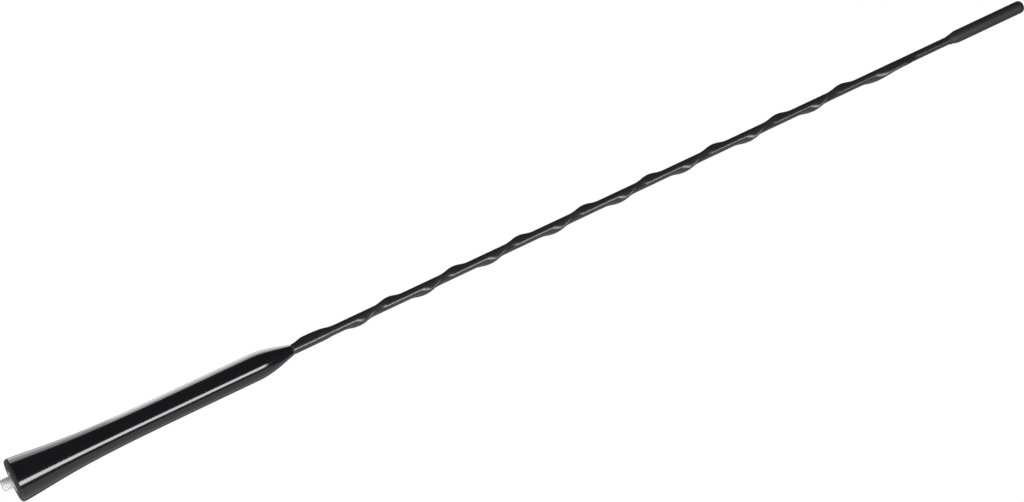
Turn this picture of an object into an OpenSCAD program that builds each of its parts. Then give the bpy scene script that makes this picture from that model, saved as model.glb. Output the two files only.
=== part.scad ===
// Screw-in mast aerial for a car: a slim whip with a spiral rib, a flared boot and a threaded stud.
// The mast stands along +Z. The origin is the centre of the boot's seating face, and the stud points down.

/* [Mast] */
// Height from the seating face to the tip
mast_h = 405; // [380:1:450]
// Radial clearance between pieces that fit into each other
fit = 0.05; // [0.03:0.01:0.08]

/* [Mounting stud] */
// Outside diameter of the stud's thread
stud_d = 5; // [4:0.5:6]
// Length of the stud below the seating face
stud_out = 4; // [3:0.5:8]
// Length of the stud screwed into the ferrule
stud_in = 9; // [6:0.5:11]
// Chamfer on both ends of the stud
stud_chamfer = 0.5; // [0.2:0.1:0.8]
// Width of the thread relief just inside the seating face
relief_w = 0.8; // [0.5:0.1:1.2]
// Depth of the thread relief
relief_depth = 0.5; // [0.3:0.1:0.8]

/* [Ferrule] */
// Diameter of the ferrule's collars
ferrule_d = 8; // [7.4:0.2:9]
// Height of the whole ferrule
ferrule_h = 36; // [30:1:45]
// Height of the collar at the seating face
foot_collar_h = 3; // [2:0.5:5]
// Height of the knurled band
knurl_h = 10; // [6:0.5:12]
// Number of teeth round the knurled band
knurl_teeth = 24; // [16:1:32]
// Depth of the knurl
knurl_depth = 0.3; // [0.2:0.05:0.4]
// How far the knurl's crests lie inside the collars
knurl_setback = 0.1; // [0.05:0.05:0.2]
// Height of the groove that locks the ferrule in the boot
groove_h = 2; // [1:0.5:3]
// Depth of that groove
groove_depth = 0.7; // [0.4:0.1:1]
// Height of the collar above the groove
upper_collar_h = 3; // [2:0.5:5]
// Wall of the neck that is crimped on the rod
neck_wall = 1.2; // [0.8:0.1:1.6]
// Space beyond the stud in the tapped hole
tap_relief = 1; // [0.5:0.5:2]
// Thickness of the web between the tapped hole and the rod's socket
web_h = 4; // [2:0.5:6]

/* [Rod] */
// Diameter of the glass-fibre rod inside the boot
core_foot_d = 2.65; // [2.2:0.05:3]
// Diameter of the glass-fibre rod at its tip
core_tip_d = 2.15; // [1.8:0.05:2.4]
// Diameter of the copper conductor inside the rod
conductor_d = 0.8; // [0.5:0.1:1]
// Distance from the rod's tip to the conductor's end
conductor_end_gap = 4; // [1:0.5:10]
// Thickness of the solder round the conductor's foot
solder_wall = 0.4; // [0.2:0.05:0.6]

/* [Spiral] */
// Diameter of the filament that makes the rib
filament_d = 0.8; // [0.7:0.05:1.3]
// Rise of the spiral in one turn
spiral_pitch = 26.1; // [22:0.1:32]
// Length at each end over which the filament bends into the spiral
spiral_lead = 16.6; // [8:0.2:20]
// Distance from the boot's mouth to the filament's lower end
spiral_foot_gap = 5.4; // [4:0.1:10]
// Distance from the filament's upper end to the cap's mouth
spiral_tip_gap = 18; // [8:0.5:30]
// Direction in which the filament's lower end lies, from +X
spiral_start_angle = 165; // [0:5:355]

/* [Sheath] */
// Wall of the shrunk sheath
sheath_wall = 0.35; // [0.25:0.05:0.45]
// Length over which the sheath settles from the filament's end to the rod
tent_len = 3.2; // [1:0.1:4]
// Extra wall of the cuff at the sheath's foot, which holds the filament's lower end
cuff_wall = 0.22; // [0:0.01:0.3]
// Height of the cuff above the boot's mouth, as far as its full thickness goes
cuff_h = 12.2; // [8:0.1:20]
// Length over which the cuff thins out at its upper end
cuff_fade = 3.6; // [2:0.1:6]

/* [Boot] */
// Diameter of the boot's rim
rim_d = 16.5; // [14:0.1:20]
// Radius of the rim's rounded edge
rim_fillet = 1.3; // [0.4:0.1:2]
// Diameter to which the boot's side runs at the foot, under the flare
barrel_foot_d = 10.4; // [10:0.1:11.5]
// Diameter of the boot's barrel at the shoulder
barrel_d = 9.95; // [9.2:0.05:10.6]
// Length over which the flare falls to about a third
flare_len = 21.5; // [16:0.5:28]
// Power of the flare's curve, where 1 is a plain exponential
flare_power = 1.45; // [1.2:0.05:1.8]
// Height of the boot
boot_h = 109.1; // [100:0.1:125]
// Length of the bullet-shaped shoulder
shoulder_h = 15.1; // [10:0.1:22]
// Power of the shoulder's cosine curve
shoulder_power = 1.1; // [1:0.05:1.5]
// Wall of the boot at its mouth
mouth_lip = 0.2; // [0.15:0.05:0.4]

/* [Tip cap] */
// Diameter of the cap
cap_d = 4.6; // [4:0.05:5]
// Length of the cap
cap_len = 30.9; // [20:0.1:45]
// Length of the cap's tapered mouth
cap_taper = 3.6; // [2:0.2:6]
// Wall of the cap at its mouth
cap_lip = 0.15; // [0.1:0.05:0.4]
// Radius of the rounding at the tip
cap_round = 1.9; // [1:0.1:2]
// Solid length above the rod's end
cap_end_wall = 3; // [2:0.5:5]

/* [Hidden] */
$fn = 64;

// Steps in one turn of the spiral, where the sheath settles, and along the boot's and the cap's curves
turn_steps = 12;
tent_steps = 4;
flare_steps = 14;
shoulder_steps = 8;
round_steps = 5;
// Sides of the filament, and points on the rod's and the filament's part of the sheath's section
filament_sides = 8;
rod_arc_steps = 13;
filament_arc_steps = 5;
// Height of the last trace of rib where the sheath lies flat, which keeps its section's points apart
flat_rib = 0.02;
// Plain stretch of sheath between the boot's mouth and the cuff, and the cuff's chamfer
cuff_gap = 0.1;
cuff_chamfer = 0.5;

// Heights of the ferrule's features
tap_depth = stud_in + tap_relief;
socket_z = tap_depth + web_h;
groove_z = foot_collar_h + knurl_h;
upper_collar_z = groove_z + groove_h;
ferrule_r = ferrule_d / 2;
neck_r = core_foot_d / 2 + fit + neck_wall;

// The rod stands in the ferrule's socket and ends inside the cap
core_r = core_foot_d / 2;
core_top_z = mast_h - cap_end_wall - fit;
cap_z = mast_h - cap_len;
conductor_r = conductor_d / 2;
solder_r = conductor_r + fit + solder_wall;

// The spiral's two ends, and the orbit of the filament's centre above the rod's surface.
// Chords between the steps cut the corner, so the orbit is widened until they clear the rod.
spiral_z = boot_h + spiral_foot_gap;
spiral_top_z = cap_z - spiral_tip_gap;
spiral_h = spiral_top_z - spiral_z;
filament_r = filament_d / 2;
chord_widening = 1 / cos(180 / turn_steps);

// The sheath starts on the ferrule's neck
sheath_z = ferrule_h + fit;
sheath_r = core_r + fit + sheath_wall + flat_rib;
mouth_r = sheath_r + fit + mouth_lip;
shoulder_z = boot_h - shoulder_h;

// Radius of the glass-fibre rod: straight inside the boot, then tapered to the tip
function core_r_at(z) =
    z < boot_h ? core_r : core_r + (core_tip_d / 2 - core_r) * (z - boot_h) / (core_top_z - boot_h);

// Length wound at full pitch when the filament has risen by x: it eases in and out over the lead
function wound(x) =
    x < spiral_lead ? x * x / (2 * spiral_lead)
    : x < spiral_h - spiral_lead ? x - spiral_lead / 2
    : spiral_h - spiral_lead - pow(spiral_h - x, 2) / (2 * spiral_lead);

// Direction of the filament from the axis at height z. The spiral is left-handed.
function spiral_angle(z) =
    spiral_start_angle - 360 * wound(min(max(z - spiral_z, 0), spiral_h)) / spiral_pitch;

// Distance of the filament's centre from the axis at height z
function orbit(z) = (core_r_at(z) + fit + filament_r) * chord_widening;

// How far the sheath is lifted by the filament at height z: 1 over the spiral, 0 on the plain rod
function lift(z) =
    let (beyond = max(spiral_z - z, z - spiral_top_z, 0) / tent_len)
    (1 + cos(180 * min(beyond, 1))) / 2;

// Extra wall of the sheath at height z: the cuff above the boot's mouth
function cuff(z) =
    let (from_mouth = z - boot_h - cuff_gap, to_top = boot_h + cuff_h + cuff_fade - z)
    cuff_wall * max(0, min(1, from_mouth / cuff_chamfer, to_top / cuff_fade));

// Heights at which the spiral's rings lie
spiral_steps = ceil(turn_steps * spiral_h / spiral_pitch);
spiral_heights = [for (i = [0:spiral_steps]) spiral_z + spiral_h * i / spiral_steps];

// Sector of a circle as points round a centre that lies at a distance along +X
function arc(radius, from, to, steps, centre = 0) =
    [for (i = [0:steps]) let (a = from + (to - from) * i / steps) [centre + radius * cos(a), radius * sin(a)]];

// A flat outline turned by an angle and raised to height z
function ring(outline, angle, z) =
    [for (p = outline) [p.x * cos(angle) - p.y * sin(angle), p.x * sin(angle) + p.y * cos(angle), z]];

// Outline that a skin takes when it is stretched over the rod and the filament, grown by a distance
function skin_outline(z, grow) =
    let (
        rod = core_r_at(z) + grow,
        bead = filament_r + grow,
        flat = rod - bead + flat_rib,
        centre = flat + lift(z) * (orbit(z) - flat),
        tangent = acos((rod - bead) / centre)
    )
    concat(
        arc(bead, -tangent, tangent, filament_arc_steps, centre),
        arc(rod, tangent, 360 - tangent, rod_arc_steps)
    );

// Closed solid over rings of points that are listed from the foot up, each counter-clockwise from above
module loft(rings) {
    count = len(rings[0]);
    last = len(rings) - 1;
    foot = [for (j = [0:count - 1]) j];
    head = [for (j = [count - 1:-1:0]) last * count + j];
    sides = [
        for (i = [0:last - 1], j = [0:count - 1])
            let (a = i * count + j, b = i * count + (j + 1) % count)
            each [[a, a + count, b + count], [a, b + count, b]]
    ];
    polyhedron(points = [for (r = rings) each r], faces = concat([foot], sides, [head]), convexity = 8);
}

// Skin over the rod and the filament between two heights, with the cuff as a share of its full wall
module skin(from, to, grow, cuff_share) {
    cuff_z = boot_h + cuff_gap;
    heights = concat(
        [from, cuff_z, cuff_z + cuff_chamfer],
        [for (i = [tent_steps:-1:1]) spiral_z - tent_len * i / tent_steps],
        spiral_heights,
        [for (i = [1:tent_steps]) spiral_top_z + tent_len * i / tent_steps],
        [to]
    );
    loft([for (z = heights) ring(skin_outline(z, grow + cuff_share * cuff(z)), spiral_angle(z), z)]);
}

// Outline of the boot from its mouth down to its rim: shoulder, barrel and flare, then the rim's edge
function barrel_r_at(z) = (barrel_foot_d + (barrel_d - barrel_foot_d) * z / shoulder_z) / 2;
function flare_r_at(z) =
    barrel_r_at(z) + (rim_d - barrel_foot_d) / 2 * exp(-pow(z / flare_len, flare_power));
function shoulder_r_at(z) =
    mouth_r + (flare_r_at(shoulder_z) - mouth_r)
        * pow(max(0, cos(90 * (z - shoulder_z) / shoulder_h)), shoulder_power);

boot_outline = concat(
    [[0, 0]],
    arc(rim_fillet, -90, 0, round_steps, flare_r_at(rim_fillet) - rim_fillet) + [
        for (i = [0:round_steps]) [0, rim_fillet]
    ],
    [for (i = [1:flare_steps]) let (z = rim_fillet + (shoulder_z - rim_fillet) * pow(i / flare_steps, 1.5))
        [flare_r_at(z), z]],
    [for (i = [1:shoulder_steps]) let (z = shoulder_z + shoulder_h * i / shoulder_steps) [shoulder_r_at(z), z]],
    [[0, boot_h]]
);

// Space that the ferrule takes up, grown by a distance
module ferrule_body(grow) {
    translate([0, 0, -grow]) cylinder(r = ferrule_r + grow, h = foot_collar_h + 2 * grow);
    knurled_band(grow);
    translate([0, 0, groove_z]) cylinder(r = ferrule_r - groove_depth + grow, h = groove_h);
    translate([0, 0, upper_collar_z - grow]) cylinder(r = ferrule_r + grow, h = upper_collar_h + 2 * grow);
    translate([0, 0, upper_collar_z]) cylinder(r = neck_r + grow, h = ferrule_h + grow - upper_collar_z);
}

// Straight teeth of the knurl, as a star-shaped prism that starts inside the foot collar
module knurled_band(grow) {
    crest_r = ferrule_r - knurl_setback + grow;
    outline = [
        for (i = [0:2 * knurl_teeth - 1])
            let (a = 180 * i / knurl_teeth, r = crest_r - (i % 2) * knurl_depth)
            [r * cos(a), r * sin(a)]
    ];
    translate([0, 0, foot_collar_h / 2]) linear_extrude(groove_z + grow - foot_collar_h / 2) polygon(outline);
}

// Threaded stud, drawn at its thread's outside diameter
module mounting_stud() {
    thread_r = stud_d / 2;
    end_r = thread_r - stud_chamfer;
    relief_r = thread_r - relief_depth;
    color("silver") rotate_extrude() polygon([
        [0, -stud_out], [end_r, -stud_out], [thread_r, stud_chamfer - stud_out],
        [thread_r, 0], [relief_r, 0], [relief_r, relief_w], [thread_r, relief_w],
        [thread_r, stud_in - stud_chamfer], [end_r, stud_in], [0, stud_in]
    ]);
}

// Turned brass ferrule: tapped below, with a solder hole through the web and a socket for the rod above
module ferrule() {
    color("goldenrod") difference() {
        ferrule_body(0);
        translate([0, 0, -1]) cylinder(d = stud_d + 2 * fit, h = tap_depth + 1);
        translate([0, 0, tap_depth - 1]) cylinder(r = solder_r + fit, h = web_h + 2);
        translate([0, 0, socket_z]) cylinder(r = core_r + fit, h = ferrule_h);
    }
}

// Moulded boot, open below for the ferrule and bored through for the rod in its sheath
module boot() {
    color([0.09, 0.09, 0.1]) difference() {
        rotate_extrude() polygon(boot_outline);
        ferrule_body(fit);
        translate([0, 0, ferrule_h]) cylinder(r = sheath_r + fit, h = boot_h);
    }
}

// Tapered glass-fibre rod with a bore for the conductor
module core_rod() {
    bore_r = conductor_r + fit;
    color("tan") rotate_extrude() polygon([
        [bore_r, socket_z + fit], [core_r, socket_z + fit], [core_r, boot_h],
        [core_tip_d / 2, core_top_z], [bore_r, core_top_z]
    ]);
}

// Copper wire along the middle of the rod, its foot soldered in the ferrule's web
module conductor() {
    foot = tap_depth + fit;
    color("peru") translate([0, 0, foot]) cylinder(r = conductor_r, h = core_top_z - conductor_end_gap - foot);
}

// Solder that fills the hole in the web round the conductor's foot
module solder_joint() {
    color("gainsboro") translate([0, 0, tap_depth + fit]) difference() {
        cylinder(r = solder_r, h = web_h - fit);
        translate([0, 0, -1]) cylinder(r = conductor_r + fit, h = web_h + 2);
    }
}

// Filament wound on the rod under the sheath, which makes the rib
module spiral_filament() {
    color("dimgray") loft([
        for (z = spiral_heights)
            ring([for (p = arc(filament_r, 0, 360 - 360 / filament_sides, filament_sides - 1))
                p + [orbit(z), 0]], spiral_angle(z), z)
    ]);
}

// Sheath shrunk over the rod and the filament
module sheath() {
    color([0.13, 0.13, 0.14]) difference() {
        skin(sheath_z, core_top_z, fit + sheath_wall, 1);
        skin(sheath_z - 1, core_top_z + 1, fit, 0);
    }
}

// Long round-ended cap on the rod's tip
module tip_cap() {
    bore_r = core_r_at(cap_z) + fit + sheath_wall + flat_rib + fit;
    cap_r = cap_d / 2;
    color([0.16, 0.16, 0.17]) rotate_extrude() polygon(concat(
        [[bore_r, cap_z], [bore_r + cap_lip, cap_z], [cap_r, cap_z + cap_taper]],
        [for (p = arc(cap_round, 0, 90, round_steps, cap_r - cap_round)) p + [0, mast_h - cap_round]],
        [[0, mast_h], [0, mast_h - cap_end_wall], [bore_r, mast_h - cap_end_wall]]
    ));
}

mounting_stud();
ferrule();
boot();
core_rod();
conductor();
solder_joint();
spiral_filament();
sheath();
tip_cap();
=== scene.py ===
"""Looks of a screw-in car mast aerial: black whip with a spiral rib, flared glossy boot and M5 stud."""

import math

import bmesh
import bpy
from mathutils import Matrix, Quaternion, Vector


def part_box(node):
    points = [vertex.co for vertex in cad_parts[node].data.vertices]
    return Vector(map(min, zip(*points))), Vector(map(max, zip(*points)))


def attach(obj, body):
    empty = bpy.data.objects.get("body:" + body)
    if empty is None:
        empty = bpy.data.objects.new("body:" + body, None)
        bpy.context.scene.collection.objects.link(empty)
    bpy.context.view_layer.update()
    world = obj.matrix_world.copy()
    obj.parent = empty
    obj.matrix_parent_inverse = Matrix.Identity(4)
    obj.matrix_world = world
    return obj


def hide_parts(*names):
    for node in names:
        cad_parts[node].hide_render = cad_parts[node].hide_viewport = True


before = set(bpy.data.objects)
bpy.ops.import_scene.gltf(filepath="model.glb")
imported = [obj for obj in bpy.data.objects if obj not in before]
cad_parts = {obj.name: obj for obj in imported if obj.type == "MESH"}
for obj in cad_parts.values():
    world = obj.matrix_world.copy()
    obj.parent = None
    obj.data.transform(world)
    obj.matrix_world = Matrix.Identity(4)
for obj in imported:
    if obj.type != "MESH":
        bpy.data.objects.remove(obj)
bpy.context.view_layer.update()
MM = 0.001


# Mounting stud
# A short M5 stud of steel with a bright zinc plate, screwed into the ferrule. Its thread was rolled,
# so the crests are narrow and the flanks smooth. The ends are chamfered, with a relief above the seat.
THREAD_R = 2.5 * MM
THREAD_PITCH = 0.8 * MM
THREAD_DEPTH = 0.49 * MM
CREST_SHARE = 1 / 8
ROOT_SHARE = 1 / 4
STUD_CHAMFER = 0.5 * MM
RELIEF_R = 2.0 * MM
RELIEF_H = 0.8 * MM
STUD_SIDES = 64
STEPS_PER_TURN = 14
CLOUDS_PER_METRE = 900.0
SHARP_EDGE = math.radians(40)


def linear(code):
    """sRGB hex colour as linear red, green, blue and alpha."""
    channels = [int(code[i : i + 2], 16) / 255 for i in (1, 3, 5)]
    return [c / 12.92 if c <= 0.04045 else ((c + 0.055) / 1.055) ** 2.4 for c in channels] + [1.0]


def add(tree, kind, links=None, **settings):
    """A node of this kind: links gives each input a value or an output, and settings its properties."""
    node = tree.nodes.new("ShaderNode" + kind)
    for name, value in settings.items():
        setattr(node, name, value)
    for socket, value in (links or {}).items():
        if isinstance(value, bpy.types.NodeSocket):
            tree.links.new(value, node.inputs[socket])
        else:
            node.inputs[socket].default_value = value
    return node


def new_material(name):
    """An empty material with its output node and the object's own coordinates."""
    material = bpy.data.materials.new(name)
    material.use_nodes = True
    tree = material.node_tree
    tree.nodes.clear()
    return material, tree, add(tree, "OutputMaterial"), add(tree, "TexCoord").outputs["Object"]


def two_tones(tree, pattern, dark, pale, spread=0.2):
    """Colour that runs from the dark tone to the pale one about the middle of the pattern's range."""
    ramp = add(tree, "ValToRGB", {"Fac": pattern.outputs["Fac"]})
    for stop, place, code in zip(ramp.color_ramp.elements, (0.5 - spread, 0.5 + spread), (dark, pale)):
        stop.position, stop.color = place, linear(code)
    return ramp.outputs["Color"]


def surface(tree, out, inputs):
    """One principled shader with these inputs, as the material's surface."""
    shader = add(tree, "BsdfPrincipled", inputs)
    tree.links.new(shader.outputs["BSDF"], out.inputs["Surface"])


def extruded_rings(name, sides, heights, turn_at, radius_at):
    """Closed skin: a circle drawn up from height to height, turned and given its radius at each."""
    bm = bmesh.new()
    bmesh.ops.create_circle(bm, segments=sides, radius=1)
    foot = list(bm.edges)
    ring = foot
    turned = 0.0
    for i, z in enumerate(heights):
        if i:
            drawn = bmesh.ops.extrude_edge_only(bm, edges=ring)["geom"]
            verts = [g for g in drawn if isinstance(g, bmesh.types.BMVert)]
            new = set(verts)
            ring = [g for g in drawn if isinstance(g, bmesh.types.BMEdge) and set(g.verts) <= new]
        else:
            verts = list(bm.verts)
        turn = turn_at(z)
        for v in verts:
            own = math.atan2(v.co.y, v.co.x) - turned
            radius = radius_at(own, z)
            v.co = (radius * math.cos(own + turn), radius * math.sin(own + turn), z)
        turned = turn
    bmesh.ops.edgeloop_fill(bm, edges=foot)
    bmesh.ops.edgeloop_fill(bm, edges=ring)
    bmesh.ops.recalc_face_normals(bm, faces=bm.faces)
    return finished(name, bm)


def finished(name, bm):
    """The bmesh as an object at the origin, smooth but for its sharp edges."""
    mesh = bpy.data.meshes.new(name)
    bm.to_mesh(mesh)
    bm.free()
    mesh.shade_smooth()
    mesh.set_sharp_from_angle(angle=SHARP_EDGE)
    piece = bpy.data.objects.new(name, mesh)
    bpy.context.scene.collection.objects.link(piece)
    return piece


stud_low, stud_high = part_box("mounting_stud")
stud_foot_z, stud_top_z = stud_low.z, stud_high.z


def thread_radius(angle, z):
    """Radius of a right-hand thread, cut back by the end chamfers and by the relief above the seat."""
    phase = (z / THREAD_PITCH - angle / (2 * math.pi)) % 1.0
    ridge = (abs(2 * phase - 1) - ROOT_SHARE) / (1 - CREST_SHARE - ROOT_SHARE)
    radius = THREAD_R - THREAD_DEPTH * (1 - min(max(ridge, 0), 1))
    if 0 <= z <= RELIEF_H:
        radius = min(radius, RELIEF_R)
    end = min(z - stud_foot_z, stud_top_z - z)
    return min(radius, THREAD_R - STUD_CHAMFER + end)


stud_steps = int((stud_top_z - stud_foot_z) / (THREAD_PITCH / STEPS_PER_TURN))
stud = extruded_rings(
    "threaded_stud",
    STUD_SIDES,
    [stud_foot_z + (stud_top_z - stud_foot_z) * i / stud_steps for i in range(stud_steps + 1)],
    lambda z: 0.0,
    thread_radius,
)

# Zinc plate: bright, faintly bluish and a little clouded. Its passivated skin scatters much of the
# light, so it is only partly metallic.
zinc, tree, out, place = new_material("bright_zinc_plate")
clouds = add(tree, "TexNoise", {"Vector": place, "Scale": CLOUDS_PER_METRE, "Detail": 3.0})
shade = two_tones(tree, clouds, "#dcdfe2", "#f0f1f2")
rough = add(tree, "MapRange", {"Value": clouds.outputs["Fac"], "To Min": 0.42, "To Max": 0.58})
bump = add(tree, "Bump", {"Height": clouds.outputs["Fac"], "Strength": 0.15, "Distance": 0.02 * MM})
surface(
    tree,
    out,
    {
        "Base Color": shade,
        "Metallic": 0.35,
        "Roughness": rough.outputs["Result"],
        "Normal": bump.outputs["Normal"],
    },
)
stud.data.materials.append(zinc)
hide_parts("mounting_stud")
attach(stud, "root")


# Ferrule
# A turned brass ferrule that holds the stud and the foot of the rod. Only its nickel-plated foot shows,
# flush with the seating face, with the fine rings that the facing tool left.
RING_SPACING = 0.754 * MM
SPOTS_PER_METRE = 600.0

# Nickel plate: a warm grey metal with faint spots. A wave texture of scale 1 repeats every pi / 10.
nickel, tree, out, place = new_material("nickel_plated_brass")
rings = add(
    tree,
    "TexWave",
    {"Vector": place, "Scale": math.pi / 10 / RING_SPACING, "Distortion": 0.6, "Detail": 1.0},
    wave_type="RINGS",
    rings_direction="Z",
)
spots = add(tree, "TexNoise", {"Vector": place, "Scale": SPOTS_PER_METRE, "Detail": 2.0})
shade = two_tones(tree, spots, "#a8a59d", "#c9c5ba")
bump = add(tree, "Bump", {"Height": rings.outputs["Fac"], "Strength": 0.3, "Distance": 0.01 * MM})
surface(
    tree,
    out,
    {"Base Color": shade, "Metallic": 1.0, "Roughness": 0.3, "Normal": bump.outputs["Normal"]},
)
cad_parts["ferrule"].material_slots[0].material = nickel


# Core rod
# A drawn rod of glass fibre in resin, straight in the boot and tapered above, hidden under the sheath.
# Its fibres run along it as fine pale streaks.
FIBRE_SPACING = 0.15 * MM
FIBRE_STRETCH = 0.02

# Glass fibre in clear resin: straw yellow, smooth, with the streaks drawn out along the rod.
fibres, tree, out, place = new_material("glass_fibre_rod")
along = add(tree, "Mapping", {"Vector": place, "Scale": (1.0, 1.0, FIBRE_STRETCH)})
streaks = add(
    tree, "TexNoise", {"Vector": along.outputs["Vector"], "Scale": 1 / FIBRE_SPACING, "Detail": 2.0}
)
shade = two_tones(tree, streaks, "#b5ab83", "#d6cfae", spread=0.15)
surface(tree, out, {"Base Color": shade, "Roughness": 0.35, "IOR": 1.52})
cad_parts["core_rod"].material_slots[0].material = fibres


# Conductor
# A drawn copper wire through the middle of the rod, the part that receives. It runs up from the ferrule
# and is hidden.
TARNISH_PER_METRE = 250.0

# Copper: bare, with cloudy darker tarnish.
copper, tree, out, place = new_material("drawn_copper")
tarnish = add(tree, "TexNoise", {"Vector": place, "Scale": TARNISH_PER_METRE, "Detail": 3.0})
shade = two_tones(tree, tarnish, "#a8613f", "#d08a62")
surface(tree, out, {"Base Color": shade, "Metallic": 1.0, "Roughness": 0.3})
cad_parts["conductor"].material_slots[0].material = copper


# Solder joint
# Tin solder that fills the hole in the ferrule's web round the conductor's foot, and so joins the two.
# It is hidden.
GRAINS_PER_METRE = 1500.0

# Solder: dull grey tin with a fine crystal grain.
tin, tree, out, place = new_material("tin_solder")
grain = add(tree, "TexNoise", {"Vector": place, "Scale": GRAINS_PER_METRE, "Detail": 2.0})
shade = two_tones(tree, grain, "#9c9d9c", "#c4c5c3")
surface(tree, out, {"Base Color": shade, "Metallic": 1.0, "Roughness": 0.45})
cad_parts["solder_joint"].material_slots[0].material = tin


# Spiral filament
# A grey nylon filament wound left-handed on the rod against wind noise. The sheath hides it and takes
# its form.
HAZE_PER_METRE = 400.0

# Nylon: mid grey, smooth and a little hazy.
nylon, tree, out, place = new_material("nylon_filament")
haze = add(tree, "TexNoise", {"Vector": place, "Scale": HAZE_PER_METRE, "Detail": 2.0})
shade = two_tones(tree, haze, "#5c5c5e", "#717174")
surface(tree, out, {"Base Color": shade, "Roughness": 0.3, "IOR": 1.53})
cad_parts["spiral_filament"].material_slots[0].material = nylon


# Sheath
# A black heat-shrink sleeve over the rod and the filament. Shrunk taut, it spans from the rod to the
# filament's crown in a slightly full flank, so the filament shows as a soft spiral rib. A thicker cuff
# above the boot holds the filament's lower end.
CORE_FOOT_R = 1.325 * MM
CORE_TIP_R = 1.075 * MM
FIT = 0.05 * MM
FILAMENT_R = 0.4 * MM
SHEATH_WALL = 0.35 * MM
SPIRAL_PITCH = 26.1 * MM
SPIRAL_LEAD = 16.6 * MM
SPIRAL_START = math.radians(165)
TENT_LEN = 4.6 * MM
CUFF_WALL = 0.22 * MM
CUFF_H = 12.2 * MM
CUFF_FADE = 3.6 * MM
CUFF_GAP = 0.1 * MM
CUFF_CHAMFER = 0.5 * MM
FLAT_RIB = 0.02 * MM
FLANK_R = 3.5 * MM
RING_STEP = 0.6 * MM
CUFF_STEPS = 4
SHEATH_SIDES = 96
SOLID_STEPS_PER_TURN = 12

sheath_low, sheath_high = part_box("sheath")
spiral_low, spiral_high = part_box("spiral_filament")
mouth_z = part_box("boot")[1].z
spiral_z, spiral_top_z = spiral_low.z, spiral_high.z
spiral_h = spiral_top_z - spiral_z
# The corners of the filament's path in the solid stand outside its orbit. The skin takes half of that.
orbit_widening = (1 + 1 / math.cos(math.pi / SOLID_STEPS_PER_TURN)) / 2


def core_radius(z):
    """Radius of the glass-fibre rod: straight in the boot, then tapered to the tip."""
    rise = max(0.0, z - mouth_z) / (sheath_high.z - mouth_z)
    return CORE_FOOT_R + (CORE_TIP_R - CORE_FOOT_R) * rise


def winding_angle(z):
    """Direction of the filament from the axis: it eases into its left-handed winding and out of it."""
    x = min(max(z - spiral_z, 0.0), spiral_h)
    if x < SPIRAL_LEAD:
        wound = x * x / (2 * SPIRAL_LEAD)
    elif x < spiral_h - SPIRAL_LEAD:
        wound = x - SPIRAL_LEAD / 2
    else:
        wound = spiral_h - SPIRAL_LEAD - (spiral_h - x) ** 2 / (2 * SPIRAL_LEAD)
    return SPIRAL_START - 2 * math.pi * wound / SPIRAL_PITCH


def cuff(z):
    """Extra wall of the sheath's foot, which thins out above the filament's lower end."""
    from_mouth = z - mouth_z - CUFF_GAP
    to_top = mouth_z + CUFF_H + CUFF_FADE - z
    share = max(0.0, min(1.0, from_mouth / CUFF_CHAMFER, to_top / CUFF_FADE))
    return CUFF_WALL * share * share * (3 - 2 * share)


def taut_radius(angle, z):
    """Reach of a taut skin over the rod and the filament, at an angle from the filament."""
    wall = FIT + SHEATH_WALL + cuff(z)
    rod = core_radius(z) + wall
    bead = FILAMENT_R + wall
    beyond = max(spiral_z - z, z - spiral_top_z, 0.0) / TENT_LEN
    lift = 0.5 + 0.5 * math.cos(math.pi * min(beyond, 1.0))
    flat = rod - bead + FLAT_RIB
    centre = flat + lift * ((core_radius(z) + FIT + FILAMENT_R) * orbit_widening - flat)
    off = abs(math.remainder(angle, 2 * math.pi))
    # The flank is an arc of FLANK_R round a point beyond the axis, and touches the rod and the bead
    to_rod, to_bead = FLANK_R - rod, FLANK_R - bead
    across = (to_rod**2 - to_bead**2 + centre**2) / (2 * centre)
    back = math.sqrt(to_rod**2 - across**2)
    if off > math.atan2(back, -across):
        return rod
    if off > math.atan2(bead * back / to_bead, centre + bead * (centre - across) / to_bead):
        toward = across * math.cos(off) - back * math.sin(off)
        return toward + math.sqrt(toward**2 + FLANK_R**2 - to_rod**2)
    return centre * math.cos(off) + math.sqrt(bead**2 - (centre * math.sin(off)) ** 2)


cuff_heights = [mouth_z + CUFF_GAP + CUFF_CHAMFER * i / CUFF_STEPS for i in range(CUFF_STEPS + 1)]
ring_count = int((spiral_h + 2 * TENT_LEN) / RING_STEP)
ring_heights = [
    spiral_z - TENT_LEN + (spiral_h + 2 * TENT_LEN) * i / ring_count for i in range(ring_count + 1)
]
sheath = extruded_rings(
    "shrunk_sheath",
    SHEATH_SIDES,
    [sheath_low.z] + cuff_heights + ring_heights + [sheath_high.z],
    winding_angle,
    taut_radius,
)

# Polyolefin sleeve: satin black, with fine lines from its drawing along it and a faint dimpling from
# the heat.
DRAW_LINE_SPACING = 0.1 * MM
DRAW_STRETCH = 0.03
DIMPLE_SIZE = 0.5 * MM

sleeve, tree, out, place = new_material("black_heat_shrink")
along = add(tree, "Mapping", {"Vector": place, "Scale": (1.0, 1.0, DRAW_STRETCH)})
lines = add(
    tree, "TexNoise", {"Vector": along.outputs["Vector"], "Scale": 1 / DRAW_LINE_SPACING, "Detail": 2.0}
)
dimples = add(tree, "TexNoise", {"Vector": place, "Scale": 1 / DIMPLE_SIZE, "Detail": 3.0})
relief = add(tree, "Math", {0: lines.outputs["Fac"], 1: dimples.outputs["Fac"]}, operation="ADD")
shade = two_tones(tree, dimples, "#202022", "#28282a")
rough = add(tree, "MapRange", {"Value": lines.outputs["Fac"], "To Min": 0.24, "To Max": 0.32})
bump = add(tree, "Bump", {"Height": relief.outputs["Value"], "Strength": 0.35, "Distance": 0.02 * MM})
surface(
    tree,
    out,
    {
        "Base Color": shade,
        "Roughness": rough.outputs["Result"],
        "IOR": 1.5,
        "Normal": bump.outputs["Normal"],
    },
)
sheath.data.materials.append(sleeve)
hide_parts("sheath")
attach(sheath, "root")


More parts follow.
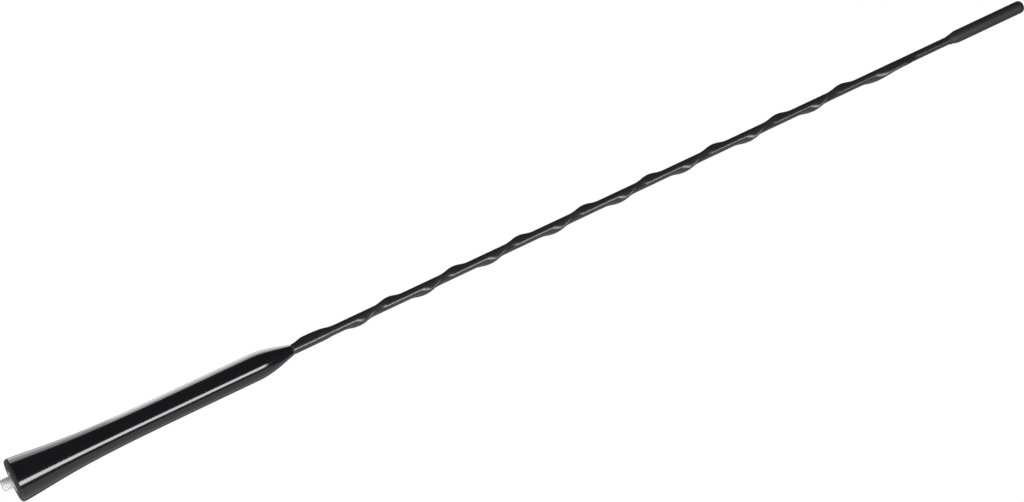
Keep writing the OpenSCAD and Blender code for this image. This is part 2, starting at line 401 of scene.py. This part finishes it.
# Boot
# A glossy black moulding over the ferrule and the foot of the rod. It flares to a round-edged rim that
# is screwed down on the car, and its upper end closes to the rod in a bullet-shaped shoulder.
RIM_FILLET = 1.3 * MM
BARREL_FOOT_R = 5.2 * MM
BARREL_R = 4.975 * MM
RIM_R = 8.25 * MM
FLARE_LEN = 21.5 * MM
FLARE_POWER = 1.45
SHOULDER_H = 15.1 * MM
SHOULDER_POWER = 1.1
MOUTH_R = 1.995 * MM
BORE_R = 1.795 * MM
FERRULE_R = 4.0 * MM
NECK_R = 2.575 * MM
NECK_FOOT_Z = 18 * MM
NECK_TOP_Z = 36 * MM
BOOT_SIDES = 128
FLARE_STEPS = 60
FLARE_CROWDING = 1.4
SHOULDER_STEPS = 32

shoulder_z = mouth_z - SHOULDER_H


def barrel_radius(z):
    """Radius of the boot's side up to the shoulder: a slight taper and a flare that fades upwards."""
    side = BARREL_FOOT_R + (BARREL_R - BARREL_FOOT_R) * z / shoulder_z
    return side + (RIM_R - BARREL_FOOT_R) * math.exp(-((z / FLARE_LEN) ** FLARE_POWER))


def shoulder_radius(z):
    """Radius of the bullet-shaped shoulder, which falls to the mouth."""
    fall = max(0.0, math.cos(math.pi / 2 * (z - shoulder_z) / SHOULDER_H)) ** SHOULDER_POWER
    return MOUTH_R + (barrel_radius(shoulder_z) - MOUTH_R) * fall


def spun(name, outline, sides):
    """The closed outline of radius and height, spun a full turn round the mast's axis."""
    bm = bmesh.new()
    verts = [bm.verts.new((r, 0, z)) for r, z in outline]
    for a, b in zip(verts, verts[1:] + verts[:1]):
        bm.edges.new((a, b))
    bmesh.ops.spin(
        bm,
        geom=bm.verts[:] + bm.edges[:],
        axis=(0, 0, 1),
        cent=(0, 0, 0),
        angle=2 * math.pi,
        steps=sides,
        use_merge=True,
    )
    bmesh.ops.remove_doubles(bm, verts=bm.verts, dist=1e-7)
    bmesh.ops.recalc_face_normals(bm, faces=bm.faces)
    return finished(name, bm)


def quarter(centre_r, centre_z, radius, start, steps=8):
    """Points of a quarter circle that runs on from the start angle, in degrees."""
    angles = [math.radians(start + 90 * i / steps) for i in range(steps + 1)]
    return [(centre_r + radius * math.cos(a), centre_z + radius * math.sin(a)) for a in angles]


# The steps are closest at the rim, where the side curves most
flare_heights = [
    RIM_FILLET + (shoulder_z - RIM_FILLET) * (i / FLARE_STEPS) ** FLARE_CROWDING
    for i in range(1, FLARE_STEPS + 1)
]
shoulder_heights = [shoulder_z + SHOULDER_H * i / SHOULDER_STEPS for i in range(1, SHOULDER_STEPS + 1)]
boot_outline = (
    [(FERRULE_R + FIT, 0.0)]
    + quarter(barrel_radius(RIM_FILLET) - RIM_FILLET, RIM_FILLET, RIM_FILLET, -90)
    + [(barrel_radius(z), z) for z in flare_heights]
    + [(shoulder_radius(z), z) for z in shoulder_heights]
    + [(BORE_R, mouth_z), (BORE_R, NECK_TOP_Z + FIT), (NECK_R + FIT, NECK_TOP_Z + FIT)]
    + [(NECK_R + FIT, NECK_FOOT_Z + FIT), (FERRULE_R + FIT, NECK_FOOT_Z + FIT)]
)
boot = spun("moulded_boot", boot_outline, BOOT_SIDES)

# Polished black moulding: deep gloss with a long, shallow ripple from the mould's cooling and a faint
# orange peel. The rim and the seating face are dull.
RIPPLE_LEN = 22 * MM
PEEL_SIZE = 0.7 * MM

gloss, tree, out, place = new_material("gloss_black_moulding")
ripple = add(tree, "TexNoise", {"Vector": place, "Scale": 1 / RIPPLE_LEN, "Detail": 1.0})
peel = add(tree, "TexNoise", {"Vector": place, "Scale": 1 / PEEL_SIZE, "Detail": 2.0})
soft = add(tree, "Bump", {"Height": ripple.outputs["Fac"], "Strength": 0.25, "Distance": 0.5 * MM})
bump = add(
    tree,
    "Bump",
    {
        "Height": peel.outputs["Fac"],
        "Strength": 0.08,
        "Distance": 0.02 * MM,
        "Normal": soft.outputs["Normal"],
    },
)
height = add(tree, "SeparateXYZ", {"Vector": place}).outputs["Z"]
above_seat = add(tree, "MapRange", {"Value": height, "From Min": 0.0, "From Max": RIM_FILLET})
polish = add(tree, "MapRange", {"Value": peel.outputs["Fac"], "To Min": 0.1, "To Max": 0.16})
rough = add(
    tree,
    "MapRange",
    {"Value": above_seat.outputs["Result"], "To Min": 0.6, "To Max": polish.outputs["Result"]},
)
shade = two_tones(tree, ripple, "#0b0b0e", "#0f0e11")
surface(
    tree,
    out,
    {
        "Base Color": shade,
        "Roughness": rough.outputs["Result"],
        "IOR": 1.52,
        "Normal": bump.outputs["Normal"],
    },
)
boot.data.materials.append(gloss)
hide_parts("boot")
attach(boot, "root")


# Tip cap
# A long matt black cap pushed over the tip of the rod. Its mouth tapers down to the sheath, and its end
# is round.
CAP_R = 2.3 * MM
CAP_TAPER = 3.6 * MM
CAP_LIP = 0.15 * MM
CAP_ROUND = 1.9 * MM
CAP_END_WALL = 3 * MM
CAP_SIDES = 96
TAPER_STEPS = 10
CAP_ROUND_STEPS = 12

cap_low, cap_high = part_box("tip_cap")
cap_z, tip_z = cap_low.z, cap_high.z
cap_bore = core_radius(cap_z) + SHEATH_WALL + FLAT_RIB + 2 * FIT
lip_r = cap_bore + CAP_LIP
taper_points = [i / TAPER_STEPS for i in range(TAPER_STEPS + 1)]
cap_outline = (
    [(cap_bore, cap_z)]
    + [(lip_r + (CAP_R - lip_r) * (3 * u**2 - 2 * u**3), cap_z + CAP_TAPER * u) for u in taper_points]
    + quarter(CAP_R - CAP_ROUND, tip_z - CAP_ROUND, CAP_ROUND, 0, CAP_ROUND_STEPS)
    + [(0.0, tip_z), (0.0, tip_z - CAP_END_WALL), (cap_bore, tip_z - CAP_END_WALL)]
)
cap = spun("tip_cap_moulding", cap_outline, CAP_SIDES)

# Matt moulding: charcoal black with the fine even grain of a spark-eroded mould.
GRAIN_SIZE = 0.12 * MM
BLOTCHES_PER_METRE = 250.0

matt, tree, out, place = new_material("matt_black_moulding")
grain = add(tree, "TexNoise", {"Vector": place, "Scale": 1 / GRAIN_SIZE, "Detail": 3.0})
blotch = add(tree, "TexNoise", {"Vector": place, "Scale": BLOTCHES_PER_METRE, "Detail": 2.0})
shade = two_tones(tree, blotch, "#1d1d1e", "#242425")
bump = add(tree, "Bump", {"Height": grain.outputs["Fac"], "Strength": 0.5, "Distance": 0.02 * MM})
surface(
    tree,
    out,
    {"Base Color": shade, "Roughness": 0.62, "IOR": 1.5, "Normal": bump.outputs["Normal"]},
)
cap.data.materials.append(matt)
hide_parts("tip_cap")
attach(cap, "root")


# Floor
# A plain white floor well below the mast, because the photograph looks up at the boot from under its
# seating face. It glows white to the camera, and more dimly in what mirrors it.
FLOOR_Z = -0.6
FLOOR_GLOW = 0.87
MIRRORED_GLOW = 0.4
FLOOR_HALF_SIDE = 6

floor_bm = bmesh.new()
bmesh.ops.create_grid(
    floor_bm,
    x_segments=1,
    y_segments=1,
    size=FLOOR_HALF_SIDE,
    matrix=Matrix.Translation((0, 0, FLOOR_Z)),
)
floor = finished("floor", floor_bm)
paper, tree, out = new_material("white_floor")[:3]
paint = add(tree, "BsdfDiffuse", {"Color": linear("#f0f0f0")})
rays = add(tree, "LightPath")
mirrored = add(
    tree,
    "Math",
    {0: rays.outputs["Is Glossy Ray"], 1: rays.outputs["Is Transmission Ray"]},
    operation="MAXIMUM",
)
dim = add(tree, "Math", {0: mirrored.outputs["Value"], 1: MIRRORED_GLOW}, operation="MULTIPLY")
strength = add(
    tree,
    "MapRange",
    {"Value": rays.outputs["Is Camera Ray"], "To Min": dim.outputs["Value"], "To Max": FLOOR_GLOW},
)
glow = add(tree, "Emission", {"Strength": strength.outputs["Result"]})
both = add(tree, "AddShader", {0: paint.outputs["BSDF"], 1: glow.outputs["Emission"]})
tree.links.new(both.outputs["Shader"], out.inputs["Surface"])
floor.data.materials.append(paper)


# World
# White to the camera. The mast mirrors a white backdrop behind it, which fades at the sides, and a dim
# room elsewhere, as the boot in the photograph does.
ROOM_TONE = 0.14
BACKDROP_HALF_ANGLE = math.radians(20)

world = bpy.data.worlds.new("studio")
bpy.context.scene.world = world
world.use_nodes = True
tree = world.node_tree
tree.nodes.clear()
out = add(tree, "OutputWorld")
toward = add(tree, "TexCoord").outputs["Generated"]
facing = add(tree, "VectorMath", {0: toward, 1: (0.0, 1.0, 0.0)}, operation="DOT_PRODUCT")
tone = add(
    tree,
    "MapRange",
    {
        "Value": facing.outputs["Value"],
        "From Min": math.cos(BACKDROP_HALF_ANGLE),
        "To Min": ROOM_TONE,
    },
    interpolation_type="SMOOTHSTEP",
)
camera_ray = add(tree, "LightPath").outputs["Is Camera Ray"]
strength = add(tree, "MapRange", {"Value": camera_ray, "To Min": tone.outputs["Result"], "To Max": 1.0})
glow = add(tree, "Background", {"Color": (1, 1, 1, 1), "Strength": strength.outputs["Result"]})
tree.links.new(glow.outputs["Background"], out.inputs["Surface"])


# Lamps
# A strip beside the camera draws the bright line along the mast and the glints on the rib. A large dim
# reflector lights the lower side. Two small softboxes close to the boot, behind its other side, draw
# the pale band along its edge.
SIDE_BEARING = -122
SIDE_WIDTH = 0.128


def softbox(name, bearing, distance, height, width, length, power):
    """An area lamp turned to the mast's axis. Its bearing, in degrees, is 0 on the camera's side."""
    lamp = bpy.data.lights.new(name, "AREA")
    lamp.shape = "RECTANGLE"
    lamp.size, lamp.size_y, lamp.energy = width, length, power
    holder = bpy.data.objects.new(name, lamp)
    angle = math.radians(bearing)
    outward = Vector((math.sin(angle), -math.cos(angle), 0))
    holder.location = outward * distance + Vector((0, 0, height))
    holder.rotation_mode = "QUATERNION"
    holder.rotation_quaternion = (-outward).to_track_quat("-Z", "Y")
    holder.visible_camera = False
    bpy.context.scene.collection.objects.link(holder)
    return holder


softbox("strip", bearing=26.5, distance=1.2, height=0.22, width=0.38, length=0.76, power=12.8)
softbox("reflector", bearing=95, distance=1.0, height=0.1, width=1.75, length=1.2, power=5.2)

# Light linking keeps the two small softboxes off the rest of the mast, as a flag would: they light only
# the boot
flagged = bpy.data.collections.new("lit_by_side_softboxes")
flagged.objects.link(boot)
for name, distance, height, length, power in (
    ("side_softbox", 0.125, 0.1, 0.17, 0.176),
    ("side_booster", 0.12, 0.12, 0.13, 0.082),
):
    side_lamp = softbox(name, SIDE_BEARING, distance, height, SIDE_WIDTH, length, power)
    side_lamp.light_linking.receiver_collection = flagged


# Camera
# The base end is nearer to the camera than the tip, and the camera is rolled so that the upright mast
# lies across the picture from corner to corner.
CAMERA_DISTANCE = 2.0
CAMERA_RISE = math.radians(10.3)
CAMERA_ROLL = math.radians(64.75)
AIM = Vector((1.6 * MM, 0, 195.8 * MM))
SENSOR_WIDTH = 36
FOCAL_LENGTH = 197.3

camera = bpy.data.objects.new("camera", bpy.data.cameras.new("camera"))
bpy.context.scene.collection.objects.link(camera)
bpy.context.scene.camera = camera
sight = Vector((0, math.cos(CAMERA_RISE), math.sin(CAMERA_RISE)))
camera.location = AIM - sight * CAMERA_DISTANCE
camera.rotation_mode = "QUATERNION"
camera.rotation_quaternion = sight.to_track_quat("-Z", "Y") @ Quaternion((0, 0, 1), CAMERA_ROLL)
camera.data.sensor_width = SENSOR_WIDTH
camera.data.lens = FOCAL_LENGTH

bpy.context.scene.view_settings.view_transform = "Standard"
